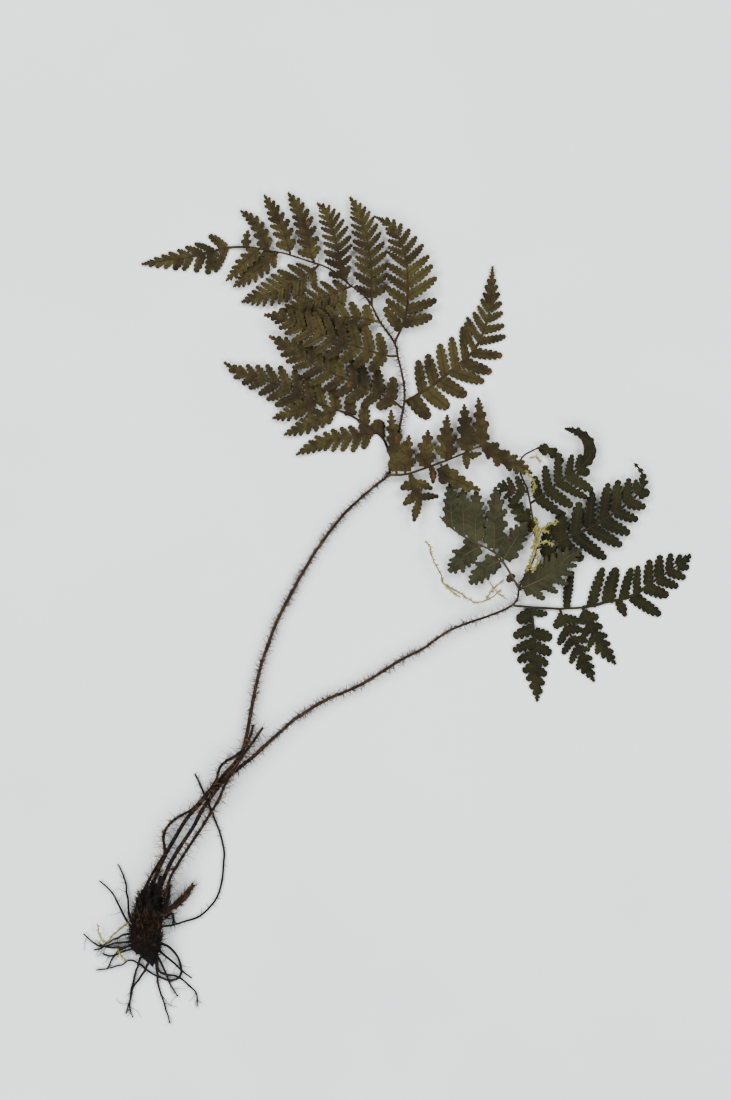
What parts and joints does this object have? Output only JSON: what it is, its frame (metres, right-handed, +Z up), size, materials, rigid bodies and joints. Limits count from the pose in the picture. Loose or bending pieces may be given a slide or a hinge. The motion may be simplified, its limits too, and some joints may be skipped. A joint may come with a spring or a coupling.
{
  "type": "pressed fern plant",
  "caption": "Dried, pressed fern lying flat: dark rhizome with wiry roots, scaly brown stalks and arching fronds cut into toothed leaflets, olive to dark green.",
  "frame": {"origin": "centre of the plant's outline at the surface it lies on", "axes": "+Z up from the surface, +Y along the plant from its roots towards the frond tips, +X towards the lower frond's side"},
  "size_m": [0.256, 0.35, 0.01],
  "materials": {
    "olive_leaf": "dry, matte olive-brown leaf",
    "dark_leaf": "dry, matte dark green leaf",
    "leaf_underside": "dry, matte grey-green leaf underside",
    "stalk_brown": "dry brown stalk, slightly glossy",
    "root_black": "dry black fibre",
    "bud_tan": "matte tan scales"
  },
  "bodies": {
    "root": {"rhizome_and_roots": "root_black", "upper_stipe_and_rachis": "stalk_brown", "lower_stipe_and_rachis": "stalk_brown", "old_stalk_right": "stalk_brown", "old_stalk_left": "stalk_brown", "wiry_stalk": "root_black", "frond_bud": "bud_tan", "upper_frond_tip": "olive_leaf", "upper_outer_pinna_1": "olive_leaf", "upper_outer_pinna_2": "olive_leaf", "upper_outer_pinna_3": "olive_leaf", "upper_outer_pinna_4": "olive_leaf", "upper_outer_pinna_5": "olive_leaf", "upper_outer_pinna_6": "olive_leaf", "upper_outer_pinna_7": "olive_leaf", "upper_outer_pinna_8": "olive_leaf", "upper_outer_pinna_9": "olive_leaf", "upper_inner_pinna_1": "olive_leaf", "upper_inner_pinna_2": "olive_leaf", "upper_inner_pinna_3": "olive_leaf", "upper_inner_pinna_4": "olive_leaf", "upper_inner_pinna_5": "olive_leaf", "upper_inner_pinna_6": "olive_leaf", "upper_inner_pinna_7": "olive_leaf", "upper_inner_pinna_8": "olive_leaf", "lower_left_pinna_1": "leaf_underside", "lower_left_pinna_2": "dark_leaf", "lower_left_pinna_3": "dark_leaf", "lower_right_pinna_1": "dark_leaf", "lower_right_pinna_2": "leaf_underside", "lower_right_pinna_3": "dark_leaf", "lower_right_pinna_4": "dark_leaf", "lower_frond_tip": "dark_leaf"}
  },
  "joints": []
}
